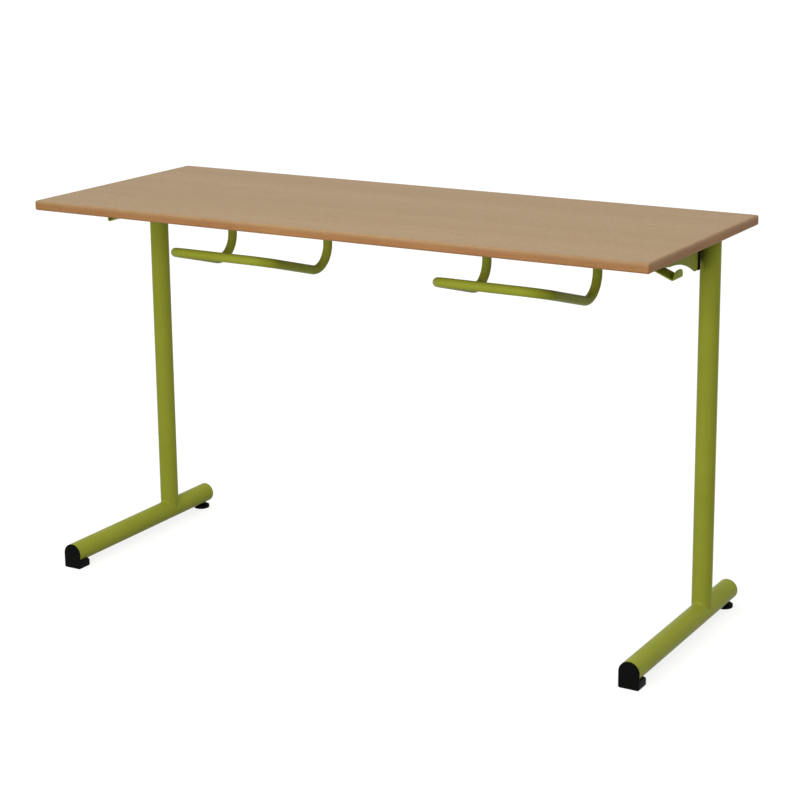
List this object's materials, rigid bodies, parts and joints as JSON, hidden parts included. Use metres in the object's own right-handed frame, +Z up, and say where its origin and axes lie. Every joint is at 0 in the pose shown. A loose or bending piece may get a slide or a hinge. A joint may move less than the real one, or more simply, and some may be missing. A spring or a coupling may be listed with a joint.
{
  "type": "school desk",
  "caption": "Long rectangular school desk with a beech-look top on two T-shaped tube legs, with bent-tube book racks, bag hooks and levelling glides.",
  "frame": {"origin": "on the floor under the middle of the top", "axes": "+X along the top, +Y away from the seated pupils, +Z up"},
  "size_m": [1.3, 0.5, 0.76],
  "materials": {
    "beech_laminate": "satin high-pressure laminate with a pale beech pattern",
    "beech_lipping": "varnished solid beech",
    "particle_board": "bare particle board, hidden inside the lipping",
    "green_powder_coat": "semi-gloss olive-lime powder coat on steel tube",
    "black_plastic": "black moulded polypropylene",
    "zinc_steel": "bright zinc-plated steel"
  },
  "bodies": {
    "desk_frame": {"crossbeam": "green_powder_coat", "front_edge_lipping": "beech_lipping", "hook_screws": "zinc_steel", "left_bag_hook": "green_powder_coat", "left_crossbeam_plug": "black_plastic", "left_edge_lipping": "beech_lipping", "left_foot_tube": "green_powder_coat", "left_front_shoe": "black_plastic", "left_glide_bush": "zinc_steel", "left_gusset": "green_powder_coat", "left_gusset_cap": "black_plastic", "left_post": "green_powder_coat", "left_post_weld": "green_powder_coat", "left_rack_tube": "green_powder_coat", "left_rear_plug": "black_plastic", "left_support_bar": "green_powder_coat", "rear_edge_lipping": "beech_lipping", "right_bag_hook": "green_powder_coat", "right_crossbeam_plug": "black_plastic", "right_edge_lipping": "beech_lipping", "right_foot_tube": "green_powder_coat", "right_front_shoe": "black_plastic", "right_glide_bush": "zinc_steel", "right_gusset": "green_powder_coat", "right_gusset_cap": "black_plastic", "right_post": "green_powder_coat", "right_post_weld": "green_powder_coat", "right_rack_tube": "green_powder_coat", "right_rear_plug": "black_plastic", "right_support_bar": "green_powder_coat", "tabletop_core": "particle_board", "tabletop_screws": "zinc_steel", "top_laminate": "beech_laminate", "underside_laminate": "beech_laminate"},
    "left_glide_screw": {"left_glide_stud": "zinc_steel"},
    "left_glide_foot": {"left_glide_pad": "black_plastic"},
    "right_glide_screw": {"right_glide_stud": "zinc_steel"},
    "right_glide_foot": {"right_glide_pad": "black_plastic"}
  },
  "joints": [
    {"name": "left_glide_height", "type": "slide", "parent": "desk_frame", "child": "left_glide_screw", "axis": [0, 0, -1], "range_m": [0, 0.012]},
    {"name": "left_glide_turn", "type": "hinge", "parent": "left_glide_screw", "child": "left_glide_foot", "pos_m": [-0.617, 0.215, 0], "axis": [0, 0, -1], "range_deg": [0, 3450]},
    {"name": "right_glide_height", "type": "slide", "parent": "desk_frame", "child": "right_glide_screw", "axis": [0, 0, -1], "range_m": [0, 0.012]},
    {"name": "right_glide_turn", "type": "hinge", "parent": "right_glide_screw", "child": "right_glide_foot", "pos_m": [0.617, 0.215, 0], "axis": [0, 0, -1], "range_deg": [0, 3450]}
  ],
  "couplings": [
    {"joint": "left_glide_height", "follows": "left_glide_turn", "m_per_rad": 0.00019894},
    {"joint": "right_glide_height", "follows": "right_glide_turn", "m_per_rad": 0.00019894}
  ]
}
